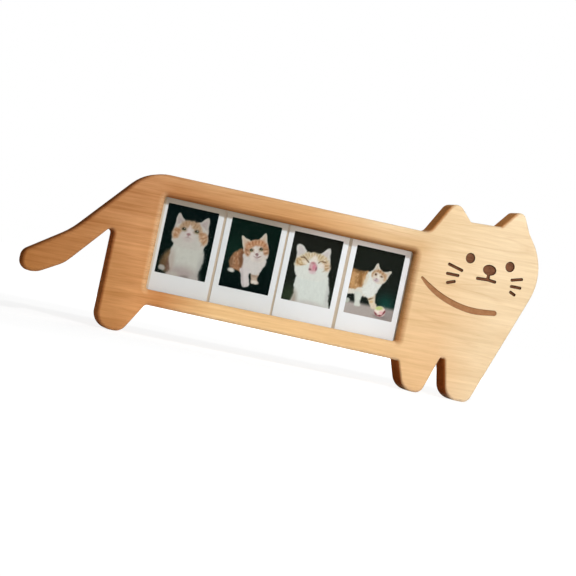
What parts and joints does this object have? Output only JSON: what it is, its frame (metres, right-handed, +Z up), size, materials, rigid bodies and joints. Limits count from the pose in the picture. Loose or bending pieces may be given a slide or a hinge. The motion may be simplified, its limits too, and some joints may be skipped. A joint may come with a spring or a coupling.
{
  "type": "cat-shaped photo frame",
  "caption": "Wooden photo frame cut as a long standing cat, with a wide window for a row of instant-film prints, an engraved face, and a back panel held by turn buttons.",
  "frame": {"origin": "on the ground under the middle of the whole frame's box", "axes": "+X along the cat from tail to head, +Y out of the back, +Z up; the face and the prints look along -Y"},
  "size_m": [0.4608, 0.0276, 0.1782],
  "materials": {
    "beech": "oiled beech, satin",
    "acrylic": "clear, polished",
    "card": "white instant-film print, semi-gloss",
    "kraft": "raw corrugated card",
    "fibreboard": "raw fibreboard",
    "steel": "zinc plated",
    "brass": "brass plated"
  },
  "bodies": {
    "frame": {"cat_board": "beech", "window_pane": "acrylic", "photo_print_1": "card", "photo_print_2": "card", "photo_print_3": "card", "photo_print_4": "card", "backing_card": "kraft", "back_panel": "fibreboard", "turn_button_screw_1": "brass", "turn_button_screw_2": "brass", "turn_button_screw_3": "brass", "turn_button_screw_4": "brass", "turn_button_screw_5": "brass", "turn_button_screw_6": "brass", "sawtooth_hanger_1": "brass", "sawtooth_hanger_2": "brass", "hanger_nail_1": "steel", "hanger_nail_2": "steel", "hanger_nail_3": "steel", "hanger_nail_4": "steel"},
    "button_1": {"turn_button_1": "steel"},
    "button_2": {"turn_button_2": "steel"},
    "button_3": {"turn_button_3": "steel"},
    "button_4": {"turn_button_4": "steel"},
    "button_5": {"turn_button_5": "steel"},
    "button_6": {"turn_button_6": "steel"}
  },
  "joints": [
    {"name": "button_1_turn", "type": "hinge", "parent": "frame", "child": "button_1", "pos_m": [-0.06986, 0.01105, 0.132], "axis": [0, 1, 0], "continuous": true},
    {"name": "button_2_turn", "type": "hinge", "parent": "frame", "child": "button_2", "pos_m": [0.06214, 0.01105, 0.132], "axis": [0, 1, 0], "continuous": true},
    {"name": "button_3_turn", "type": "hinge", "parent": "frame", "child": "button_3", "pos_m": [0.12134, 0.01105, 0.0818], "axis": [0, 1, 0], "continuous": true},
    {"name": "button_4_turn", "type": "hinge", "parent": "frame", "child": "button_4", "pos_m": [0.06214, 0.01105, 0.0316], "axis": [0, 1, 0], "continuous": true},
    {"name": "button_5_turn", "type": "hinge", "parent": "frame", "child": "button_5", "pos_m": [-0.06986, 0.01105, 0.0316], "axis": [0, 1, 0], "continuous": true},
    {"name": "button_6_turn", "type": "hinge", "parent": "frame", "child": "button_6", "pos_m": [-0.12906, 0.01105, 0.0818], "axis": [0, 1, 0], "continuous": true}
  ]
}
